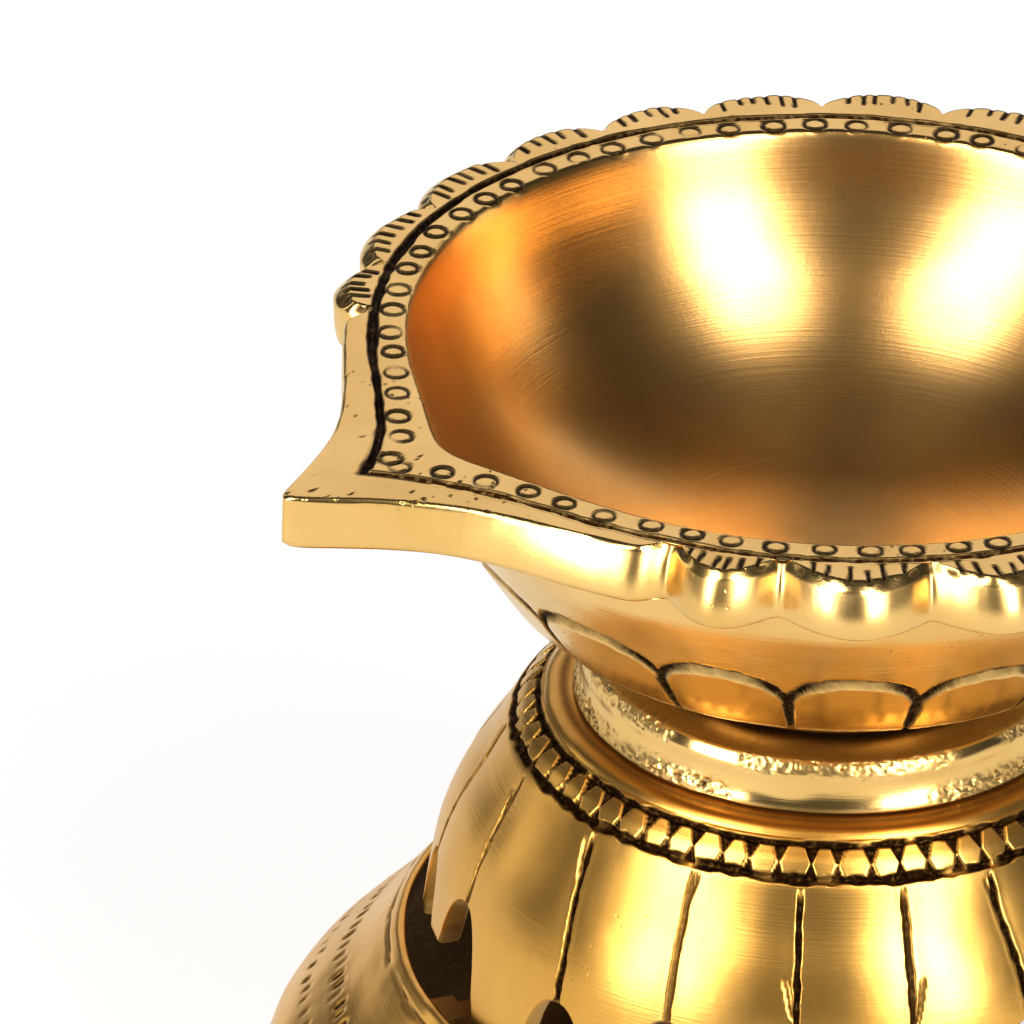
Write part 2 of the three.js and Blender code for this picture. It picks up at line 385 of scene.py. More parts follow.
def columns(count, first, crowded_at, crowding, spread):
    """Azimuths once round from first, closer together near crowded_at."""
    fine = np.linspace(first, first + 360.0, 7201)
    density = 1 + crowding * np.exp(-((wrap(fine - crowded_at) / spread) ** 2))
    total = np.concatenate([[0], np.cumsum((density[1:] + density[:-1]) / 2)])
    return np.interp(np.arange(count) / count * total[-1], total, fine)


def clustered(edges, per_panel, share):
    """Azimuths once round, with per_panel in each panel and a share of them bunched near its edges."""
    u = np.arange(per_panel) / per_panel
    bunched = u - share * np.sin(2 * np.pi * u) / (2 * np.pi)
    closed = np.append(edges, edges[0] + 360.0)
    return np.concatenate([a + (b - a) * bunched for a, b in zip(closed[:-1], closed[1:])])


def even_edges(given, total):
    """Panel edges once round: the given ones, then the rest evenly spaced."""
    left = total - len(given) + 1
    gap = given[0] + 360.0 - given[-1]
    return np.array(list(given) + [given[-1] + gap * i / left for i in range(1, left)])


# ---- Oil bowl ------------------------------------------------------------------------------------

WELL, RIM, SIDE, UNDER, BODY, FOOT = range(6)


def punch_centres():
    """Places of the ring punches, evenly spaced along a line just inside the groove, as (x, y)."""
    a = np.linspace(SPOUT_AZIMUTH, SPOUT_AZIMUTH + 360.0, 20001)
    r = groove_radius(a)
    t = np.radians(a)
    x, y = r * np.cos(t), r * np.sin(t)
    dx, dy = np.gradient(x), np.gradient(y)
    size = np.hypot(dx, dy)
    inward = np.stack([-dy / size, dx / size], 1)
    line = np.stack([x, y], 1) + inward * PUNCH_LINE
    along = np.concatenate([[0], np.cumsum(np.hypot(*np.diff(line, axis=0).T))])
    # Just past the corner the offset line doubles back on itself, so the punches start a little way round.
    start, end = 1.2, along[-1] - 1.2
    count = int(round((end - start) / PUNCH_PITCH))
    rng = np.random.default_rng(SEED + 5)
    places = start + (end - start) * (np.arange(count) + 0.5) / count + rng.uniform(-0.3, 0.3, count)
    side = rng.uniform(-0.22, 0.22, count)
    i = np.searchsorted(along, places)
    return line[i] + inward[i] * side[:, None], rng


def carve_bowl(azimuth, radius, height, zone):
    depth = np.zeros(len(azimuth))
    grime_and_shade = np.zeros(len(azimuth))
    rough = np.zeros(len(azimuth))
    t = np.radians(azimuth)
    x, y = radius * np.cos(t), radius * np.sin(t)
    spout = spout_share(azimuth, 9.0)

    # Chased groove round the rim.
    rim = np.flatnonzero(zone == RIM)
    a, r = azimuth[rim], radius[rim]
    g = groove_radius(a)
    slope = (groove_radius(a + 0.2) - groove_radius(a - 0.2)) / (np.radians(0.4) * g)
    off = np.abs(r - g) / np.hypot(1, slope)
    width = GROOVE_WIDTH + 0.1 * wander(a, 240, 3) + 0.06 * wander(a, 60, 4)
    cut = np.clip(1 - off / width, 0, 1)
    depth[rim] += (GROOVE_DEPTH + 0.14 * wander(a, 130, 6)) * cut**0.8
    grime_and_shade[rim] = np.maximum(grime_and_shade[rim], smooth(width + 0.14, width - 0.06, off))
    depth[rim] -= 0.03 * bump(off - width - 0.2, 0.12)

    # Ring punches.
    centres, rng = punch_centres()
    px, py = x[rim], y[rim]
    for cx, cy in centres:
        near = np.flatnonzero((np.abs(px - cx) < 1.8) & (np.abs(py - cy) < 1.8))
        lean = rng.uniform(0, 2 * np.pi)
        tilt = rng.uniform(0.1, 0.75)
        force = rng.uniform(0.55, 1.0)
        size = PUNCH_R * rng.uniform(0.92, 1.06)
        ux, uy = px[near] - cx, py[near] - cy
        ring = bump(np.hypot(ux, uy) - size, PUNCH_WIDTH)
        side = 1 - tilt * (0.5 - 0.5 * np.cos(np.arctan2(uy, ux) - lean))
        mark = ring * side * force
        depth[rim[near]] += PUNCH_DEPTH * mark
        grime_and_shade[rim[near]] = np.maximum(grime_and_shade[rim[near]], smooth(0.12, 0.42, mark) * 0.95)

    # Ticks on the lobes.
    lobe, share = lobe_place(wrap(a))
    edge = flange_radius(a)
    for k in range(len(VALLEYS) - 1):
        on = np.flatnonzero(lobe == k)
        count = int(rng.integers(5, 8))
        width_deg = VALLEYS[k + 1] - VALLEYS[k]
        for n in range(count):
            place = (n + 1.0) / (count + 1.0) + rng.uniform(-0.02, 0.02)
            centre = VALLEYS[k] + width_deg * (0.08 + 0.84 * place)
            length = rng.uniform(1.5, 2.4)
            force = rng.uniform(0.6, 1.0)
            lean = rng.uniform(-0.12, 0.12)
            out = edge[on] - 1.3 - r[on]
            across = np.radians(wrap(a[on] - centre)) * r[on] + lean * out
            mark = bump(across, TICK_WIDTH) * smooth(length + 0.2, length - 0.3, out) * force
            mark = mark * smooth(0.5, 0.75, r[on] - g[on]) * smooth(-0.55, -0.25, out)
            depth[rim[on]] += TICK_DEPTH * mark
            grime_and_shade[rim[on]] = np.maximum(grime_and_shade[rim[on]], smooth(0.1, 0.4, mark))

    # A dark nick on top where two lobes meet, faint between the front lobes.
    turn = np.min(np.abs(wrap(azimuth[:, None] - VALLEYS[None, :])), axis=1) * np.radians(1) * radius
    soft = lobe_place(wrap(azimuth))[0] <= SOFT_LOBES
    nick = bump(turn, 0.5) * smooth(1.6, 0.6, flange_radius(azimuth) - radius)
    nick = nick * ((zone == RIM) | (zone == SIDE)) * smooth(97.4, 98.6, height)
    depth += NICK_DEPTH * nick * np.where(soft, 0.3, 1.0)
    grime_and_shade = np.maximum(grime_and_shade, smooth(0.3, 0.8, nick) * np.where(soft, 0.3, 0.9))
    # Dark crescents at the two ends of each lobe's bevel.
    ends = bump(turn - 1.7, 0.55) * bump(flange_radius(azimuth) - radius - 0.75, 0.5) * (zone == RIM)
    ends = ends * (lobe_place(wrap(azimuth))[0] >= 0) * smooth(99.05, 98.8, height)
    depth += CRESCENT_DEPTH * ends
    grime_and_shade = np.maximum(grime_and_shade, smooth(0.25, 0.7, ends) * 0.85)

    # Small pits and file nicks on the spout's top.
    pits = noise(azimuth, radius * 2.2, 900, 8) * noise(azimuth, radius * 1.1, 460, 9)
    pitted = smooth(0.42, 0.62, pits) * (zone == RIM) * smooth(0.05, 0.25, spout)
    depth += PIT_DEPTH * pitted
    grime_and_shade = np.maximum(grime_and_shade, 0.75 * pitted)

    # Arched panels round the body.
    body = np.flatnonzero((zone == BODY) & (height > ARCH_FOOT_Z - 0.1))
    a, r, z = azimuth[body], radius[body], height[body]
    closed = np.append(ARCH_LINES, ARCH_LINES[0] + 360.0)
    around = ARCH_LINES[0] + np.mod(a - ARCH_LINES[0], 360.0)
    k = np.clip(np.searchsorted(closed, around, side="right") - 1, 0, ARCHES - 1)
    half = (closed[k + 1] - closed[k]) / 2
    middle = (closed[k + 1] + closed[k]) / 2
    u = (around - middle) / half
    half_mm = np.radians(half) * r
    shoulder = ARCH_SHOULDER_Z + 0.35 * wander(middle, 40, 12)
    v = np.clip(z - shoulder, 0, None) / ARCH_RISE
    level = np.sqrt(np.abs(u) ** ARCH_POWER + v**2 + 1e-9)
    du = ARCH_POWER / 2 * np.abs(u) ** (ARCH_POWER - 1) / level / half_mm
    dv = v / level / ARCH_RISE
    arch = (level - 1) / np.maximum(np.hypot(du, dv), 1e-3)
    arch = arch + 0.12 * noise(a, z * 1.2, 220, 13)
    side = half_mm * (1 - np.abs(u))
    below = z < shoulder
    distance = np.where(below, side, np.abs(arch))
    taper = smooth(73.0, 78.5, z)
    width = np.where(below, 0.32 + 0.26 * taper, 0.5) + 0.1 * noise(a, z, 300, 14)
    cut = np.clip(1 - distance / width, 0, 1)
    depth[body] += ARCH_DEPTH * np.sqrt(cut) + 0.02 * (cut > 0.2) * noise(a, z * 4.5, 1200, 18)
    # The strip over the top of each arch is half bright, and dark along its outer side.
    top_strip = smooth(0.75, 0.35, np.abs(u)) * (~below)
    arch_top_fill = 1 - top_strip * np.where(arch > 0.1, 0.1, 0.55 + 0.15 * noise(a, z * 2.5, 600, 15))
    grime_and_shade[body] = np.maximum(grime_and_shade[body], smooth(width + 0.2, width - 0.15, distance) * arch_top_fill)
    rough[body] = smooth(0.05, 0.5, cut)
    # Each panel swells a little towards its middle.
    inside = np.where(below, 1.0, smooth(0.1, -0.6, arch))
    swell = (1 - np.abs(u) ** ARCH_POWER) * inside * smooth(ARCH_FOOT_Z, ARCH_FOOT_Z + 1.2, z)
    depth[body] -= PANEL_SWELL * swell - PANEL_SWELL / 2

    # File strokes down the side of the flange.
    strokes = 0.05 * noise(azimuth, height * 0.1, 150, 23) + 0.012 * wander(azimuth, 520, 24)
    depth += np.where(zone == SIDE, strokes, 0)

    # Hand-filed unevenness everywhere but in the well, and painted shade in the hidden recess under the
    # body.
    filed = (zone != WELL) & (zone != FOOT)
    uneven = noise(azimuth, radius * 0.35 + height * 0.4, 110, 16) * 0.02
    uneven += noise(azimuth, radius * 0.12 + height * 0.15, 40, 17) * 0.05
    depth += np.where(filed, uneven, 0)
    grime_and_shade = np.maximum(grime_and_shade, 0.12 * (zone == FOOT))
    rough = np.maximum(rough, 0.5 * (zone == FOOT))
    rough = np.maximum(rough, 0.28 * (zone == SIDE))
    return depth, grime_and_shade, rough


ARCH_LINES = even_edges(ARCH_EDGES, ARCHES)
COLS = ARCHES * 90


def oil_bowl(materials):
    skin = Skin()
    rim_az = columns(COLS, ARCH_LINES[0], SPOUT_AZIMUTH, 1.2, 9.0)
    body_az = clustered(ARCH_LINES, 45, 0.8)

    # Well, from its lowest point out to the rim.
    skin.pole(WELL_PROFILE[0][1], WELL, 1)
    for r, z in spline(WELL_PROFILE, 1.0)[1:]:
        step = 90 if r < 5 else 18 if r < 9 else 3 if z < 97 else 1
        az = rim_az[::step]
        lip = (well_radius(az) - WELL_R) * smooth(80.0, 98.0, z)
        skin.row(az, r + lip, z, WELL, 1)
    edge = well_radius(rim_az)
    skin.row(rim_az, edge - 0.2, RIM_Z - 0.42, WELL, 1)
    skin.row(rim_az, edge - 0.03, RIM_Z - 0.17, RIM, 0)
    skin.row(rim_az, edge + 0.2, RIM_Z - 0.03, RIM, 0)

    # Rim top, its rows following the groove.
    wall = flange_radius(rim_az)
    groove = groove_radius(rim_az)
    lobed = np.where(lobe_place(wrap(rim_az))[0] >= 0, 1.0, 0.0)
    lobed = np.convolve(np.concatenate([lobed[-12:], lobed, lobed[:12]]), np.ones(25) / 25, "valid")
    front = lobed * smooth(60.0, 30.0, np.abs(wrap(rim_az + 90.0)))
    bevel = 0.45 + (1.05 - 0.45 * front) * lobed + 0.2 * wander(rim_az, 150, 20) * (0.4 + 0.6 * lobed)
    drop = 0.35 + (1.0 - 0.55 * front) * lobed + 0.12 * wander(rim_az, 90, 21)
    face_edge = np.maximum(wall - bevel, groove + 0.3)
    spans = [(edge + 0.45, groove - 0.6, 20), (groove - 0.6, groove + 0.6, 9), (groove + 0.6, face_edge, 14)]
    for inner, outer, count in spans:
        outer = np.maximum(outer, inner + 0.05)
        for n in range(count):
            skin.row(rim_az, inner + (outer - inner) * n / count, RIM_Z, RIM, 0)
    for share in (0.0, 0.12, 0.3, 0.5, 0.7, 0.87):
        fall = drop * share ** (1.35 - 0.2 * lobed)
        skin.row(rim_az, face_edge + (wall - face_edge) * share * 0.985, RIM_Z - 0.02 - fall, RIM, 0)

    # Side of the flange.
    side_top = RIM_Z - drop - 0.12
    bottom = FLANGE_BOTTOM_Z + 0.25 * (1 - lobed)
    bulge = SIDE_BULGE * smooth(57.0, 32.0, np.abs(wrap(rim_az + 84.0)))
    for share in (0.0, 0.05, 0.14, 0.28, 0.42, 0.56, 0.7, 0.82, 0.9, 0.96):
        z = side_top + (bottom + 0.35 - side_top) * share
        draw = 0.35 * lobed * share**3
        skin.row(rim_az, wall + bulge * (1 - (1 - share) ** 1.8) - draw, z, SIDE, 0)
    half_az = rim_az[::2]
    wall_half = (wall + bulge)[::2]
    skin.row(half_az, wall_half - 0.38 * lobed[::2], bottom[::2] + 0.12, SIDE, 0)
    skin.row(half_az, wall_half - 0.5, FLANGE_BOTTOM_Z, UNDER, 0)

    # Underside of the flange, then the body down to its sharp lower edge.
    for share in (0.25, 0.5, 0.72, 0.88):
        az = half_az + (body_az - half_az) * share
        r = (wall_half - 0.5) + (41.6 - wall_half + 0.5) * share
        skin.row(az, r, FLANGE_BOTTOM_Z - 0.06 * share, UNDER, 0)
    for r, z in spline(BODY_PROFILE, 0.36):
        skin.row(body_az, r, z, BODY, 0)
    skin.row(body_az, 28.9, 73.15, BODY, 0)
    for r, z in RECESS_PROFILE:
        skin.row(body_az[::3], r, z, FOOT, 0)
    for z in (71, 69.5, 68, 67.2):
        skin.row(body_az[::3], BOWL_FOOT_R, z, FOOT, 0)
    skin.row(body_az[::3], BOWL_FOOT_R - 0.4, BOWL_FOOT_Z, FOOT, 2)
    for r in (14, 9):
        skin.row(body_az[::9], r, BOWL_FOOT_Z, FOOT, 2)
    skin.pole(BOWL_FOOT_Z, FOOT, 2)
    return skin.build("oil_bowl_cast", materials, carve_bowl)


# ---- Neck collar ---------------------------------------------------------------------------------


def carve_collar(azimuth, radius, height, zone):
    depth = noise(azimuth, height * 0.5, 44, 30) * 0.1
    top = bump(height - 65.7, 0.75) * smooth(0.0, 0.55, wander(azimuth, 21, 31) + 0.25)
    low = bump(height - 62.4, 0.7) * smooth(-0.15, 0.45, wander(azimuth, 15, 32) + 0.1)
    patch = np.maximum(top * 0.45, low) * (zone == 0)
    lumps = noise(azimuth, height * 2.1, 300, 33)
    grains = noise(azimuth, height * 4.4, 620, 34)
    depth += patch * (0.16 * lumps + 0.14 * grains + 0.05)
    holes = smooth(0.35, 0.75, lumps * grains * 2.2)
    depth += 0.35 * holes * patch
    grime_and_shade = np.maximum(patch * smooth(0.15, 0.7, grains * 0.6 + lumps * 0.6), holes * patch)
    # Painted shade in the creases where the collar meets the bowl above and the dome below.
    crease_shade = bump(height - COLLAR_BOTTOM, 0.2) * (radius > 22)
    crease_shade = crease_shade + bump(height - COLLAR_TOP, 0.2) * (radius < 22.5)
    grime_and_shade = np.maximum(grime_and_shade, 0.45 * crease_shade)
    return depth, grime_and_shade, patch


def neck_collar(materials):
    skin = Skin()
    az = np.arange(720) / 2.0
    for r in (4.5, 12, 20):
        skin.row(az[::4], r, COLLAR_TOP, 1, 0)
    for r, z in spline(COLLAR_PROFILE, 0.16):
        skin.row(az, r, z, 0, 0)
    for r in (22, 12, 4.5):
        skin.row(az[::4], r, COLLAR_BOTTOM, 1, 0)
    return skin.build("neck_collar_cast", materials, carve_collar, loop=True)


# ---- Petal dome ----------------------------------------------------------------------------------

LINE_FOOT = even_edges(LINE_FEET, PETALS)
LINE_TOP = even_edges(LINE_TOPS, PETALS)
SHOULDER, BAND, PETAL, LIP, INSIDE = range(5)
SHOULDER_PROFILE = [(23.6, 61.2), (24.8, 61.2), (25.4, 61.13), (25.95, 60.88), (26.35, 60.5)]
BAND_PROFILE = [(26.4, 60.4), (27.1, 59.95), (28.3, 58.75), (29.3, 57.6), (29.75, 57.0)]
DOME_OUTER = [
    (29.9, 57.0),
    (31.5, 53.9),
    (34.1, 49.6),
    (35.8, 45.2),
    (36.7, 40.5),
    (37.2, 36.5),
    (37.25, PETAL_TIP_Z),
]
GROOVE_HIGH = (27.0, 60.1)
GROOVE_LOW = (29.3, 57.7)
BOSS_PROFILE = [
    (24.5, 58.2),
    (12, 58.0),
    (8.6, 57.0),
    (8, 56.0),
    (8, 44),
    (8, 32.2),
    (7.6, 31.8),
    (3.0, 31.8),
]
BORE_PROFILE = [(2.9, 32.2), (2.9, 53.0), (4.3, 53.4), (4.4, 60.8)]


def line_azimuths(height):
    """The chased lines' azimuths at a height: they lean a little."""
    return LINE_FOOT + (LINE_TOP - LINE_FOOT) * smooth(LEAN_LOW_Z, LEAN_HIGH_Z, height)


def carve_dome(azimuth, radius, height, zone):
    depth = np.zeros(len(azimuth))
    grime_and_shade = np.zeros(len(azimuth))
    rough = np.zeros(len(azimuth))
    along = (radius - GROOVE_HIGH[0]) * 0.69 - (height - GROOVE_HIGH[1]) * 0.72
    run = math.hypot(GROOVE_LOW[0] - GROOVE_HIGH[0], GROOVE_LOW[1] - GROOVE_HIGH[1])

    # Two grooves with rows of opposed triangular punches between them.
    band = np.flatnonzero(zone == BAND)
    a, s = azimuth[band], along[band]
    for where, width, force, seed in ((0.0, 0.32, 0.3, 40), (run, 0.46, 0.42, 41)):
        off = np.abs(s - where + 0.12 * wander(a, 90, seed))
        wide = width * (1 + 0.35 * wander(a, 160, seed + 5))
        cut = np.clip(1 - off / np.maximum(wide, 0.08), 0, 1)
        cut = cut * smooth(-1.15, -0.4, wander(a, 120, seed + 9))
        depth[band] += force * np.sqrt(cut)
        dirty = smooth(wide + 0.14, wide - 0.06, off) * smooth(-1.15, -0.4, wander(a, 120, seed + 9))
        grime_and_shade[band] = np.maximum(grime_and_shade[band], dirty)
    pitch = 360.0 / BAND_MARKS
    rng = np.random.default_rng(SEED + 42)
    number = np.floor(np.mod(a - SPOUT_AZIMUTH, 360.0) / pitch).astype(int) % BAND_MARKS
    shift = rng.uniform(-0.09, 0.09, BAND_MARKS)[number]
    force_up = rng.uniform(0.75, 1.0, BAND_MARKS)[number]
    force_down = rng.uniform(0.6, 1.0, BAND_MARKS)[number]
    phase = np.mod(a - SPOUT_AZIMUTH, 360.0) / pitch - number - 0.5 + shift
    across = np.abs(np.radians(phase * pitch) * radius[band])
    upper = np.where(s > -0.05, 0.74 * (1 - s / 1.8) - across, -1)
    lower = np.where(s < run + 0.05, 0.6 * (1 - (run - s) / 1.45) - across, -1)
    upper = smooth(-0.12, 0.08, upper) * force_up
    lower = smooth(-0.12, 0.08, lower) * force_down
    punched = np.maximum(upper, lower)
    depth[band] += BAND_MARK_DEPTH * punched
    grime_and_shade[band] = np.maximum(grime_and_shade[band], smooth(0.1, 0.5, punched))
    lift = bump(s - run / 2, 0.8) * (1 - punched)
    depth[band] -= 0.08 * lift

    # Chased lines between the petals, with a few stray strokes beside them.
    petal = np.flatnonzero(zone == PETAL)
    a, r, z = azimuth[petal], radius[petal], height[petal]
    rng = np.random.default_rng(SEED + 43)
    rise = smooth(LEAN_LOW_Z, LEAN_HIGH_Z, z)
    for k in range(PETALS):
        at = LINE_FOOT[k] + (LINE_TOP[k] - LINE_FOOT[k]) * rise
        off = np.radians(wrap(a - at)) * r + 0.07 * noise(np.full(len(z), k * 19.0), z * 0.7, 60, 44)
        near = np.flatnonzero(np.abs(off) < 4)
        force = rng.uniform(0.7, 1.0)
        top = rng.uniform(56.0, 57.2)
        width = LINE_WIDTH * (1 + 0.35 * noise(np.full(len(near), k * 19.0), z[near] * 1.3, 60, 45))
        fade = smooth(top + 0.5, top - 0.8, z[near])
        cut = np.clip(1 - np.abs(off[near]) / width, 0, 1) * fade
        depth[petal[near]] += LINE_DEPTH * force * np.sqrt(cut)
        dirty = smooth(width + 0.14, width - 0.06, np.abs(off[near])) * fade
        grime_and_shade[petal[near]] = np.maximum(grime_and_shade[petal[near]], dirty * force)
        depth[petal[near]] -= 0.02 * bump(np.abs(off[near]) - 0.5, 0.2)
        if rng.uniform() < 0.55:
            high = rng.uniform() < 0.6
            start = rng.uniform(52.0, 55.0) if high else rng.uniform(44.5, 46.5)
            length = rng.uniform(2.5, 5.0)
            lean = rng.uniform(0.12, 0.3) * rng.choice([-1, 1])
            side = rng.uniform(0.1, 0.5) * np.sign(lean)
            up = z[near] - start
            stray = np.abs(off[near] - side - lean * up)
            cut = np.clip(1 - stray / 0.2, 0, 1) * smooth(0, 0.4, up) * smooth(length, length - 1.0, up)
            depth[petal[near]] += STRAY_DEPTH * np.sqrt(cut)
            grime_and_shade[petal[near]] = np.maximum(grime_and_shade[petal[near]], smooth(0.1, 0.6, cut) * 0.85)
    lines = line_azimuths(z[:, None])
    gap = np.min(np.abs(wrap(a[:, None] - lines)), axis=1) / (180.0 / PETALS)
    swell = (1 - (1 - np.clip(gap, 0, 1)) ** 2.4) * smooth(58.0, 53.5, z)
    depth[petal] -= PETAL_SWELL * swell - PETAL_SWELL

    # Metal left uneven by hand filing, and painted shade at the collar's foot, on the inside and along the
    # petals' inner lip.
    outer = (zone != INSIDE) & (zone != LIP)
    depth += np.where(outer, noise(azimuth, height * 0.15, 40, 46) * 0.05, 0)
    depth += np.where(outer, noise(azimuth, height * 0.6, 120, 47) * 0.008, 0)
    collar_foot_shade = bump(radius - 24.6, 0.45) * (zone == SHOULDER)
    grime_and_shade = np.maximum(grime_and_shade, 0.55 * collar_foot_shade)
    grime_and_shade = np.maximum(grime_and_shade, 0.7 * (zone == INSIDE) + 0.1 * (zone == LIP))
    rough = np.maximum(rough, 1.0 * (zone == INSIDE) + 0.3 * (zone == LIP))
    return depth, grime_and_shade, rough


def petal_edge(azimuth):
    """Height of the dome's lower edge: rounded petal tips with arched notches between them."""
    closed = np.append(LINE_FOOT, LINE_FOOT[0] + 360.0)
    around = LINE_FOOT[0] + np.mod(azimuth - LINE_FOOT[0], 360.0)
    k = np.clip(np.searchsorted(closed, around, side="right") - 1, 0, PETALS - 1)
    from_line = np.minimum(around - closed[k], closed[k + 1] - around)
    nearest = np.where(around - closed[k] < closed[k + 1] - around, k, (k + 1) % PETALS)
    rng = np.random.default_rng(SEED + 48)
    apex = 44.0 + rng.uniform(-0.9, 0.9, PETALS)
    apex[:2] = FIRST_NOTCHES_Z
    width = rng.uniform(6.0, 7.0, PETALS)
    tip = PETAL_TIP_Z + rng.uniform(0.0, 1.2, PETALS)
    tip[-1] = SHORT_PETAL_TIP_Z
    x = np.clip(from_line / width[nearest], 0, 1)
    return tip[k] + (apex[nearest] - tip[k]) * np.clip(1 - x**2.4, 0, 1) ** 0.62


def petal_dome(materials):
    skin = Skin()
    fine = clustered(LINE_TOP, COLUMNS_PER_PETAL * 2, 0.7)
    foot_az = clustered(LINE_FOOT, COLUMNS_PER_PETAL, 0.82)
    top_az = fine[::2]

    # Top face, shoulder and punched band.
    for r in (4.5, 12, 20):
        skin.row(fine[::8], r, DOME_TOP, INSIDE, 2)
    for r, z in spline(SHOULDER_PROFILE, 0.2):
        skin.row(fine[::2], r, z, SHOULDER, 0)
    for r, z in spline(BAND_PROFILE, 0.15):
        skin.row(fine, r, z, BAND, 0)

    # Petals down to the notched edge.
    outer = spline(DOME_OUTER, 0.4)
    for r, z in outer[1:]:
        az = foot_az + (top_az - foot_az) * smooth(LEAN_LOW_Z, LEAN_HIGH_Z, z)
        edge = petal_edge(az)
        low = NOTCH_ROWS_Z - (NOTCH_ROWS_Z - edge) * ((NOTCH_ROWS_Z - z) / (NOTCH_ROWS_Z - PETAL_TIP_Z))
        z_here = np.where(z < NOTCH_ROWS_Z, low, z)
        r_here = np.interp(z_here, outer[::-1, 1], outer[::-1, 0])
        skin.row(az, r_here, z_here, PETAL, 0)
    edge = petal_edge(foot_az)
    r_edge = np.interp(edge, outer[::-1, 1], outer[::-1, 0])
    skin.row(foot_az, r_edge - 0.12, edge - 0.18, PETAL, 0)
    for inward, drop in ((0.5, 0.3), (1.2, 0.32), (1.9, 0.22), (2.2, 0.0)):
        skin.row(foot_az, r_edge - inward, edge - drop, LIP, 0)

    # Inside.
    middle = edge + (49.0 - edge) * 0.5
    skin.row(foot_az, np.interp(middle, outer[::-1, 1], outer[::-1, 0]) - DOME_WALL, middle, INSIDE, 2)
    for z in (49.0, 52.0, 55.0, 57.5):
        r = np.interp(z, outer[::-1, 1], outer[::-1, 0]) - DOME_WALL
        skin.row(foot_az[::2] if z > 50 else foot_az, r, z, INSIDE, 2)
    for r, z in BOSS_PROFILE + BORE_PROFILE:
        skin.row(foot_az[::4], r, z, INSIDE, 2)
    return skin.build("petal_dome_cast", materials, carve_dome, loop=True)


# ---- Base ----------------------------------------------------------------------------------------

BASE_OUTER = [
    (38.85, 34.85),
    (39.25, 34.8),
    (39.65, 34.45),
    (41.4, 32.1),
    (43.9, 28.8),
    (47.2, 25.4),
    (50.0, 22.3),
    (51.7, 19.2),
    (52.8, 14.4),
    (53.4, 8.2),
    (53.75, 4.4),
]


def carve_base(azimuth, radius, height, zone):
    depth = noise(azimuth, height * 0.25, 60, 60) * 0.08 + noise(azimuth, height * 0.8, 160, 61) * 0.02
    depth = depth * (zone == 0)
    grime_and_shade = np.zeros(len(azimuth))
    rough = np.zeros(len(azimuth))
    shell = np.flatnonzero(zone == 0)
    a, r, z = azimuth[shell], radius[shell], height[shell]
    line = np.clip(1 - np.abs(z - CHASED_LINE_Z + 0.12 * wander(a, 90, 62)) / CHASED_LINE_WIDTH, 0, 1)
    line = line * smooth(-1.0, -0.3, wander(a, 70, 63))
    depth[shell] += CHASED_LINE_DEPTH * np.sqrt(line)
    grime_and_shade[shell] = np.maximum(grime_and_shade[shell], smooth(0.1, 0.5, line) * 0.85)
    rng = np.random.default_rng(SEED + 64)
    for level, tall, count, force in MARK_ROWS:
        pitch = 360.0 / count
        number = np.floor(np.mod(a, 360.0) / pitch).astype(int) % count
        shift = rng.uniform(-0.16, 0.16, count)[number]
        lift = rng.uniform(-0.25, 0.25, count)[number]
        hard = rng.uniform(0.25, 1.0, count)[number]
        across = np.radians((np.mod(a, 360.0) / pitch - number - 0.5 + shift) * pitch) * r
        mark = bump(across, MARK_WIDTH) * smooth(tall, tall - 0.45, np.abs(z - level - lift)) * hard * force
        depth[shell] += MARK_DEPTH * mark
        grime_and_shade[shell] = np.maximum(grime_and_shade[shell], smooth(0.18, 0.6, mark))
    # Painted shade over the whole inside of the bell.
    grime_and_shade[zone == 1] = 0.75
    rough[zone == 1] = 1.0
    return depth, grime_and_shade, rough


def base_bell(materials):
    skin = Skin()
    az = np.arange(1440) / 4.0
    for r, z in spline(BASE_OUTER, 0.34):
        fine = az if 20.5 < z < 34.5 else az[::2]
        skin.row(fine, r, z, 0, 0)
    for r, z in spline(FOOT_RING, 0.3):
        skin.row(az[::2], r, z, 2, 0)
    skin.row(az[::2], 51.2, 0.0, 2, 0)
    for r, z in BASE_INNER:
        skin.row(az[::4] if 0.5 < z < 30 else az[::2], r, z, 1, 1)
    skin.row(az[::2], 38.75, 34.7, 0, 0)
    return skin.build("base_bell_cast", materials, carve_base, loop=True)


# ---- Screws --------------------------------------------------------------------------------------


ROD_COLUMNS = 32
ROWS_PER_TURN = 6


def threaded_rod(name, radius, bottom, top, pitch, materials):
    """A rod with a helical thread between two plain, chamfered ends."""
    skin = Skin()
    az = np.arange(ROD_COLUMNS) * (360.0 / ROD_COLUMNS)
    skin.pole(bottom, 0)
    skin.row(az, radius * 0.7, bottom, 0)
    skin.row(az, radius * 0.86, bottom + 0.15, 0)
    steps = int((top - bottom - 0.6) / (pitch / ROWS_PER_TURN))
    for n in range(steps + 1):
        z = bottom + 0.3 + (top - bottom - 0.6) * n / steps
        turn = np.abs(np.mod(z / pitch - az / 360.0, 1.0) * 2 - 1)
        skin.row(az, radius - 0.42 * smooth(0.2, 0.9, turn) * pitch, z, 0)
    skin.row(az, radius * 0.86, top - 0.15, 0)
    skin.row(az, radius * 0.7, top, 0)
    skin.pole(top, 0)
    return skin.build(name, materials, lambda a, r, z, zone: (0 * a, 0 * a + 0.5, 0 * a + 0.4))


# ---- Materials -----------------------------------------------------------------------------------


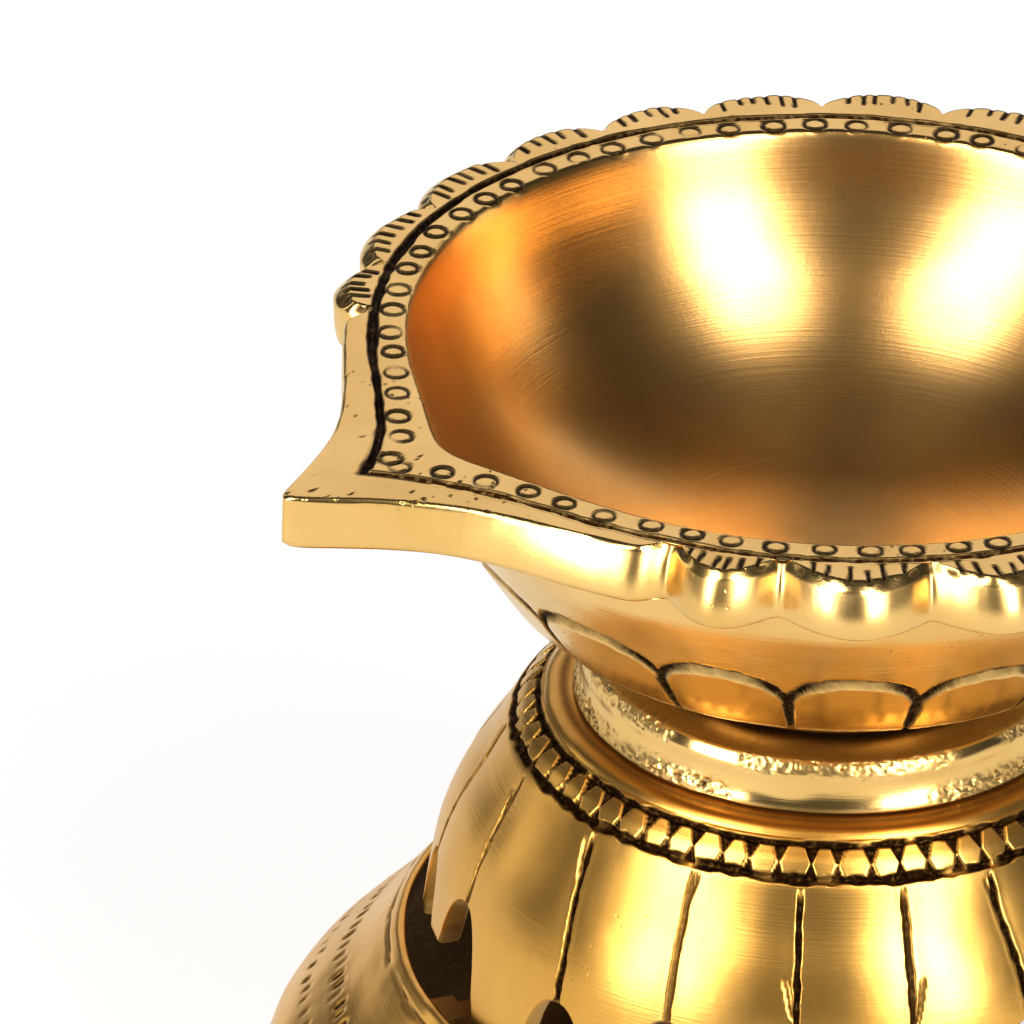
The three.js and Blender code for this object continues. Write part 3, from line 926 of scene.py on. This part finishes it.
class Graph:
    """A short way to write a material's node tree."""

    def __init__(self, name):
        self.material = bpy.data.materials.new(name)
        self.material.use_nodes = True
        self.nodes = self.material.node_tree.nodes
        self.links = self.material.node_tree.links
        self.shader = self.nodes["Principled BSDF"]

    def node(self, kind, inputs=None, **settings):
        node = self.nodes.new(kind)
        for key, value in settings.items():
            setattr(node, key, value)
        for key, value in (inputs or {}).items():
            socket = node.inputs[key]
            if isinstance(value, bpy.types.NodeSocket):
                self.links.new(value, socket)
            else:
                socket.default_value = value
        return node

    def math(self, operation, a, b=None, clamp=False):
        node = self.node("ShaderNodeMath", {0: a}, operation=operation, use_clamp=clamp)
        if b is not None:
            if isinstance(b, bpy.types.NodeSocket):
                self.links.new(b, node.inputs[1])
            else:
                node.inputs[1].default_value = b
        return node.outputs[0]

    def span(self, value, low, high, to_low=0.0, to_high=1.0):
        inputs = {"Value": value, "From Min": low, "From Max": high, "To Min": to_low, "To Max": to_high}
        return self.node("ShaderNodeMapRange", inputs).outputs[0]

    def mix(self, share, a, b):
        node = self.node("ShaderNodeMix", data_type="RGBA")
        for socket, value in ((node.inputs[0], share), (node.inputs[6], a), (node.inputs[7], b)):
            if isinstance(value, bpy.types.NodeSocket):
                self.links.new(value, socket)
            else:
                socket.default_value = value
        return node.outputs[2]

    def attribute(self, name):
        return self.node("ShaderNodeAttribute", attribute_name=name).outputs["Fac"]


# Dark colour for real patina in recesses, also used as painted shade on hidden insides and in creases.
PATINA_AND_SHADE = (0.030, 0.012, 0.003, 1)
TURNING_PITCH = 5200.0
TURNING_LENGTH = 60.0
BLOTCHES = 70.0
SCRATCH_STRETCH = (1500.0, 1500.0, 90.0)
SCRATCH_RELIEF = 0.06
GRAIN = 1900.0
PIT_CELLS = 900.0
RELIEF_STRENGTH = 0.6
RELIEF_DISTANCE = 0.00015


def brass(name, colour, deep, roughness, brushed, anisotropy=0.0, casting=0.0, pitted=1.0):
    """Cast brass with fine turning lines, scratches, small pits, and dark patina in the recesses, the same
    dark colour also painted as shade on hidden insides and in creases.
    """
    g = Graph(name)
    place = g.node("ShaderNodeTexCoord").outputs["Object"]
    split = g.node("ShaderNodeSeparateXYZ", {"Vector": place})
    x, y = split.outputs[0], split.outputs[1]
    radius = g.math("SQRT", g.math("ADD", g.math("MULTIPLY", x, x), g.math("MULTIPLY", y, y)))
    # Turning lines: noise that changes fast with radius and height, and slowly round the piece.
    stretch = (TURNING_LENGTH, TURNING_LENGTH, TURNING_PITCH)
    around = g.node("ShaderNodeVectorMath", {0: place, 1: stretch}, operation="MULTIPLY")
    turning = {
        "Vector": around.outputs[0],
        "W": g.math("MULTIPLY", radius, TURNING_PITCH),
        "Scale": 1.0,
        "Detail": 3.0,
    }
    ring_noise = g.node("ShaderNodeTexNoise", turning, noise_dimensions="4D").outputs[0]
    broad = g.node("ShaderNodeTexNoise", {"Vector": place, "Scale": BLOTCHES, "Detail": 3.0}).outputs[0]
    stretched = g.node("ShaderNodeVectorMath", {0: place, 1: SCRATCH_STRETCH}, operation="MULTIPLY")
    scratches = {"Vector": stretched.outputs[0], "Scale": 1.0, "Detail": 2.0}
    scratch = g.node("ShaderNodeTexNoise", scratches).outputs[0]
    grain = g.node("ShaderNodeTexNoise", {"Vector": place, "Scale": GRAIN, "Detail": 4.0}).outputs[0]
    cells = g.node("ShaderNodeTexVoronoi", {"Vector": place, "Scale": PIT_CELLS}).outputs["Distance"]
    pits = g.math("MULTIPLY", g.span(cells, 0.16, 0.07), g.span(broad, 0.56, 0.66, 0.0, pitted))
    grime_and_shade = g.attribute("grime_and_shade")
    rough_cast = g.attribute("casting")

    tone = g.mix(g.span(broad, 0.35, 0.65), colour, deep)
    # The vertex mask read here holds real patina in chased recesses and painted shade on hidden insides and
    # in creases, and mixes the dark colour in.
    settled_and_shade = g.math("MULTIPLY", grime_and_shade, g.span(grain, 0.2, 0.5, 0.75, 1.0))
    dirt_and_shade = g.math("MAXIMUM", settled_and_shade, g.math("MULTIPLY", pits, 0.6))
    g.links.new(g.mix(dirt_and_shade, tone, PATINA_AND_SHADE), g.shader.inputs["Base Color"])
    gloss = g.span(broad, 0.3, 0.7, roughness, roughness + 0.06)
    gloss = g.math("ADD", gloss, g.math("MULTIPLY", dirt_and_shade, 0.35))
    gloss = g.math("ADD", gloss, g.span(rough_cast, 0.0, SATIN, 0.0, 0.1))
    g.links.new(gloss, g.shader.inputs["Roughness"])
    g.shader.inputs["Metallic"].default_value = 1.0

    # One height for all of the fine relief: casting grain, pits, turning lines and scratches.
    grained = g.math("ADD", g.span(rough_cast, SATIN, 1.0, 0.0, 0.8), 0.02 + casting)
    height = g.math("MULTIPLY", grain, grained)
    height = g.math("SUBTRACT", height, g.math("MULTIPLY", pits, 0.6))
    height = g.math("ADD", height, g.math("MULTIPLY", ring_noise, brushed))
    height = g.math("ADD", height, g.math("MULTIPLY", scratch, SCRATCH_RELIEF))
    settings = {"Strength": RELIEF_STRENGTH, "Distance": RELIEF_DISTANCE, "Height": height}
    relief = g.node("ShaderNodeBump", settings)
    g.links.new(relief.outputs[0], g.shader.inputs["Normal"])
    if anisotropy:
        # The well's highlights are drawn out up and down, across its turning lines.
        g.shader.inputs["Anisotropic"].default_value = anisotropy
        g.shader.inputs["Anisotropic Rotation"].default_value = 0.25
        tangent = g.node("ShaderNodeTangent", direction_type="RADIAL", axis="Z")
        g.links.new(tangent.outputs[0], g.shader.inputs["Tangent"])
    return g.material


GOLD = (0.79, 0.56, 0.24, 1)
GOLD_DEEP = (0.73, 0.50, 0.19, 1)
WELL_GOLD = (0.78, 0.50, 0.20, 1)
WELL_GOLD_DEEP = (0.72, 0.44, 0.16, 1)
RAW = (0.45, 0.26, 0.08, 1)
RAW_DEEP = (0.36, 0.2, 0.06, 1)
DOME_GOLD = (0.71, 0.44, 0.13, 1)
DOME_GOLD_DEEP = (0.64, 0.38, 0.10, 1)
BASE_GOLD = (0.80, 0.49, 0.15, 1)
BASE_GOLD_DEEP = (0.74, 0.43, 0.11, 1)
polished = brass("brass_polished", GOLD, GOLD_DEEP, 0.18, 0.13)
satin = brass("brass_satin", WELL_GOLD, WELL_GOLD_DEEP, 0.28, 0.22, anisotropy=0.6, pitted=0.0)
raw = brass("brass_raw", RAW, RAW_DEEP, 0.5, 0.04, casting=0.4)
dome_finish = brass("brass_dome", DOME_GOLD, DOME_GOLD_DEEP, 0.28, 0.2, pitted=0.25)
base_finish = brass("brass_base", BASE_GOLD, BASE_GOLD_DEEP, 0.28, 0.14)


# ---- The lamp ------------------------------------------------------------------------------------

bowl = oil_bowl([polished, satin, raw])
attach(bowl, "bowl")
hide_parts("oil_bowl")

collar = neck_collar([polished])
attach(collar, "stand")
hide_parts("neck_collar")

dome = petal_dome([dome_finish, satin, raw])
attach(dome, "stand")
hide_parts("petal_dome")

base = base_bell([base_finish, raw])
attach(base, "stand")
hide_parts("base_bell")

bowl_screw = threaded_rod("bowl_stud_threaded", 4.0, 55.0, 66.5, 1.25, [raw])
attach(bowl_screw, "bowl")
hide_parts("bowl_stud")

tie_screw = threaded_rod("tie_stud_threaded", 2.5, 20.5, 53.0, 0.8, [raw])
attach(tie_screw, "stand")
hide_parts("tie_stud")

for node in ("base_spider", "spider_washer", "tie_nut"):
    carried = frame["nodes"][node].data.materials
    carried.clear()
    carried.append(raw)


# ---- Floor, light and camera ---------------------------------------------------------------------


FLOOR_HALF = 3.0
FLOOR_GLOW = 0.8


def floor():
    mesh = bpy.data.meshes.new("floor")
    half = FLOOR_HALF
    corners = [(-half, -half, 0), (half, -half, 0), (half, half, 0), (-half, half, 0)]
    mesh.from_pydata(corners, [], [(0, 1, 2, 3)])
    obj = bpy.data.objects.new("floor", mesh)
    bpy.context.scene.collection.objects.link(obj)
    g = Graph("floor_white")
    g.shader.inputs["Base Color"].default_value = (0.2, 0.2, 0.2, 1)
    g.shader.inputs["Roughness"].default_value = 0.9
    # It glows as a white product table lit from below does, so it stays even and almost shadowless.
    g.shader.inputs["Emission Color"].default_value = (1.0, 0.995, 0.985, 1)
    g.shader.inputs["Emission Strength"].default_value = FLOOR_GLOW
    mesh.materials.append(g.material)


def softbox(name, place, target, width, height, power, colour):
    light = bpy.data.lights.new(name, "AREA")
    light.shape = "RECTANGLE"
    light.size = width
    light.size_y = height
    light.energy = power
    light.color = colour
    obj = bpy.data.objects.new(name, light)
    obj.location = place
    obj.rotation_euler = (Vector(target) - Vector(place)).to_track_quat("-Z", "Y").to_euler()
    bpy.context.scene.collection.objects.link(obj)


def world():
    w = bpy.data.worlds.new("studio")
    bpy.context.scene.world = w
    w.use_nodes = True
    background = w.node_tree.nodes["Background"]
    background.inputs[0].default_value = (1.0, 0.97, 0.92, 1)
    background.inputs[1].default_value = 0.08


# The camera stands this many degrees above the rim and this many metres from its middle.
CAMERA_ELEVATION = 28.30
CAMERA_DISTANCE = 1.4333
CAMERA_YAW = -1.355
CAMERA_PITCH = 29.004
CAMERA_ROLL = 1.692
CAMERA_LENS = 547.6


def camera():
    elevation = math.radians(CAMERA_ELEVATION)
    place = Vector((0, -math.cos(elevation), math.sin(elevation))) * CAMERA_DISTANCE
    place += Vector((0, 0, RIM_Z * MM))
    yaw, pitch = math.radians(CAMERA_YAW), math.radians(CAMERA_PITCH)
    roll = math.radians(CAMERA_ROLL)
    forward = Vector((math.sin(yaw) * math.cos(pitch), math.cos(yaw) * math.cos(pitch), -math.sin(pitch)))
    right = forward.cross(Vector((0, 0, 1))).normalized()
    up = right.cross(forward)
    turned_right = right * math.cos(roll) + up * math.sin(roll)
    turned_up = up * math.cos(roll) - right * math.sin(roll)
    data = bpy.data.cameras.new("camera")
    data.lens = CAMERA_LENS
    data.sensor_width = 36.0
    data.clip_start = 0.05
    data.clip_end = 20.0
    obj = bpy.data.objects.new("camera", data)
    axes = Matrix((turned_right, turned_up, -forward)).transposed()
    obj.matrix_world = Matrix.Translation(place) @ axes.to_4x4()
    bpy.context.scene.collection.objects.link(obj)
    bpy.context.scene.camera = obj


floor()
world()
# Each box is aimed at the lamp's bowl or at its dome.
BOWL_AIM = (0, 0, 0.08)
DOME_AIM = (0, 0, 0.06)
WHITE = (1.0, 0.98, 0.97)
PINKISH = (1.0, 0.95, 0.95)
WARM = (1.0, 0.98, 0.95)
softbox("left_box", (-0.6, -0.56, 0.6), BOWL_AIM, 0.42, 1.2, 13.5, WHITE)
softbox("right_box", (0.49, -0.67, 0.6), BOWL_AIM, 0.38, 1.2, 14, WHITE)
softbox("back_box", (0.0, 1.3, 0.75), DOME_AIM, 2.4, 0.7, 5.5, PINKISH)
softbox("left_side", (-1.2, 0.4, 0.35), DOME_AIM, 0.35, 0.6, 1, WARM)
softbox("right_side", (1.2, 0.4, 0.35), DOME_AIM, 0.35, 0.6, 1, WARM)
# A plain display curve with a photograph's contrast.
bpy.context.scene.view_settings.view_transform = "Standard"
bpy.context.scene.view_settings.gamma = 0.8
camera()
